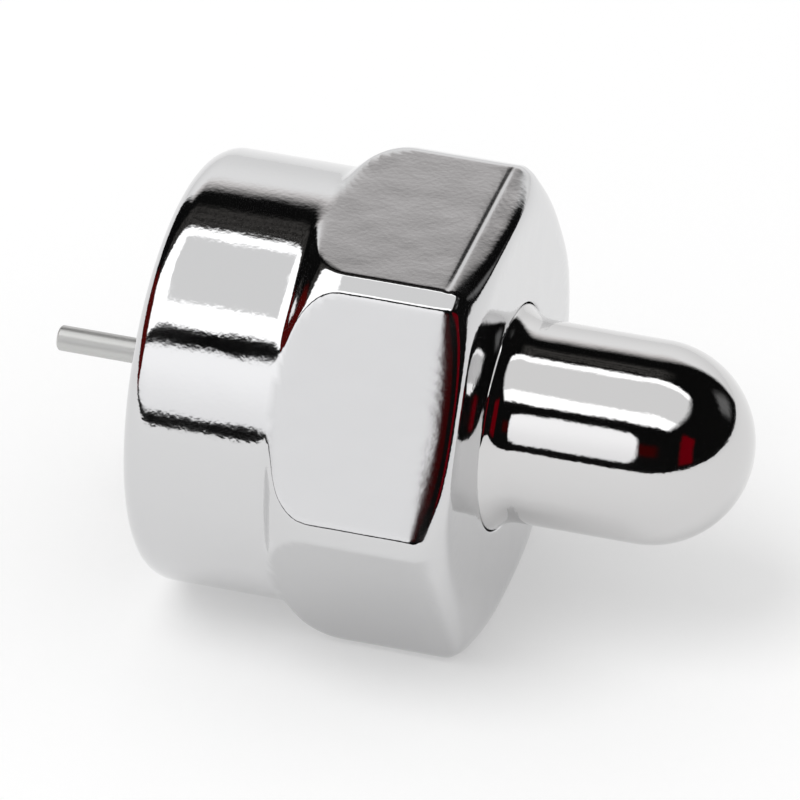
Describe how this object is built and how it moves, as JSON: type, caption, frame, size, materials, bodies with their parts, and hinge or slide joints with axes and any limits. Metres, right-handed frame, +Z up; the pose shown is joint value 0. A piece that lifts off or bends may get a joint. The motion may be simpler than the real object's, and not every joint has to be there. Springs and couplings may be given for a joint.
{
  "type": "coaxial terminator",
  "caption": "Male 75 ohm coaxial terminator: a spinning hexagonal coupling nut on a round-nosed metal body that holds a load resistor and its centre pin.",
  "frame": {"origin": "where the thread's axis meets the nut's front face", "axes": "+X along the thread's axis from the centre pin to the round nose, +Z up with one flat of the nut straight down"},
  "size_m": [0.018, 0.0124, 0.011],
  "materials": {
    "nickel_nut": "bright polished nickel plate",
    "nickel_body": "bright polished nickel plate",
    "spring_steel": "plain spring steel",
    "white_plastic": "moulded, natural white",
    "tinned_wire": "satin tinned wire",
    "ceramic_rod": "unglazed",
    "tan_lacquer": "dipped lacquer",
    "cap_steel": "pressed and tinned",
    "solder": "dull solder"
  },
  "bodies": {
    "terminator": {"terminator_body": "nickel_body", "retaining_ring": "spring_steel", "insulator_bush": "white_plastic", "centre_pin": "tinned_wire", "resistor_core": "ceramic_rod", "resistor_coat": "tan_lacquer", "front_end_cap": "cap_steel", "rear_end_cap": "cap_steel", "earth_lead": "tinned_wire", "solder_joint": "solder"},
    "nut": {"coupling_nut": "nickel_nut"}
  },
  "joints": [
    {"name": "nut_spin", "type": "hinge", "parent": "terminator", "child": "nut", "pos_m": [0.0076, 0, 0], "axis": [1, 0, 0], "continuous": true}
  ]
}
